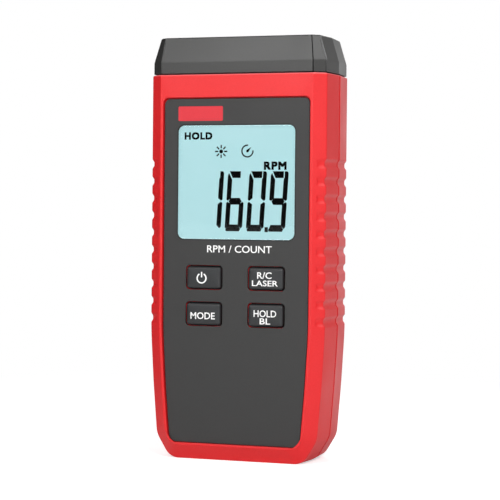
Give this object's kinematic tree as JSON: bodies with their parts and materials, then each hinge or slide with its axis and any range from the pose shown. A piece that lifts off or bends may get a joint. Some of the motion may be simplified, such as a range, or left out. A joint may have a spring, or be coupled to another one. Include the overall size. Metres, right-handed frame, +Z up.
{
  "type": "laser tachometer",
  "caption": "Hand-held laser tachometer with a drafted moulded case, grip ribs, dark end cap, display panel, sprung keys and a lift-off battery cover.",
  "frame": {"origin": "centre of the flat lower end that it stands on, midway between front and back", "axes": "+Z up along the instrument towards the laser end, +Y out of the back, +X to the right as its user looks at the display"},
  "size_m": [0.0584, 0.0264, 0.13],
  "materials": {
    "case_red": "matte, finely textured",
    "cap_grey": "satin",
    "panel_grey": "matte",
    "window_clear": "clear, polished",
    "lcd": "smooth",
    "frame_white": "matte",
    "connector_rubber": "matte",
    "key_rubber": "matte",
    "switch_plastic": "matte",
    "board_green": "solder mask",
    "plated_steel": "plated",
    "barrel_brass": "turned",
    "lens_glass": "polished",
    "diode_dark": "smooth",
    "filter_red": "polished",
    "cell_wrap": "printed wrap, plain"
  },
  "bodies": {
    "housing": {"front_case": "case_red", "rear_case": "case_red", "end_cap": "cap_grey", "face_panel": "panel_grey", "display_window": "window_clear", "lcd_glass": "lcd", "lcd_frame": "frame_white", "backlight_panel": "frame_white", "zebra_connectors": "connector_rubber", "key_switches": "switch_plastic", "controller_chip": "switch_plastic", "optics_holder": "switch_plastic", "main_board": "board_green", "board_screws": "plated_steel", "case_screws": "plated_steel", "crystal": "plated_steel", "positive_terminal": "plated_steel", "negative_terminal": "plated_steel", "upper_link_plate": "plated_steel", "lower_link_plate": "plated_steel", "battery_springs": "plated_steel", "laser_module": "barrel_brass", "laser_lens": "lens_glass", "receiver_lens": "lens_glass", "photodiode": "diode_dark", "laser_window": "filter_red", "receiver_window": "filter_red", "left_cell": "cell_wrap", "middle_cell": "cell_wrap", "right_cell": "cell_wrap"},
    "power_button": {"power_key": "key_rubber", "power_plunger": "switch_plastic"},
    "laser_button": {"laser_key": "key_rubber", "laser_plunger": "switch_plastic"},
    "mode_button": {"mode_key": "key_rubber", "mode_plunger": "switch_plastic"},
    "hold_button": {"hold_key": "key_rubber", "hold_plunger": "switch_plastic"},
    "cover": {"battery_cover": "case_red"}
  },
  "joints": [
    {"name": "power_press", "type": "slide", "parent": "housing", "child": "power_button", "axis": [0, 1, 0], "range_m": [0, 0.0006], "stiffness_N_per_m": 1500},
    {"name": "laser_press", "type": "slide", "parent": "housing", "child": "laser_button", "axis": [0, 1, 0], "range_m": [0, 0.0006], "stiffness_N_per_m": 1500},
    {"name": "mode_press", "type": "slide", "parent": "housing", "child": "mode_button", "axis": [0, 1, 0], "range_m": [0, 0.0006], "stiffness_N_per_m": 1500},
    {"name": "hold_press", "type": "slide", "parent": "housing", "child": "hold_button", "axis": [0, 1, 0], "range_m": [0, 0.0006], "stiffness_N_per_m": 1500},
    {"name": "cover_lift", "type": "slide", "parent": "housing", "child": "cover", "axis": [0, 1, 0], "range_m": [0, 0.03]}
  ]
}
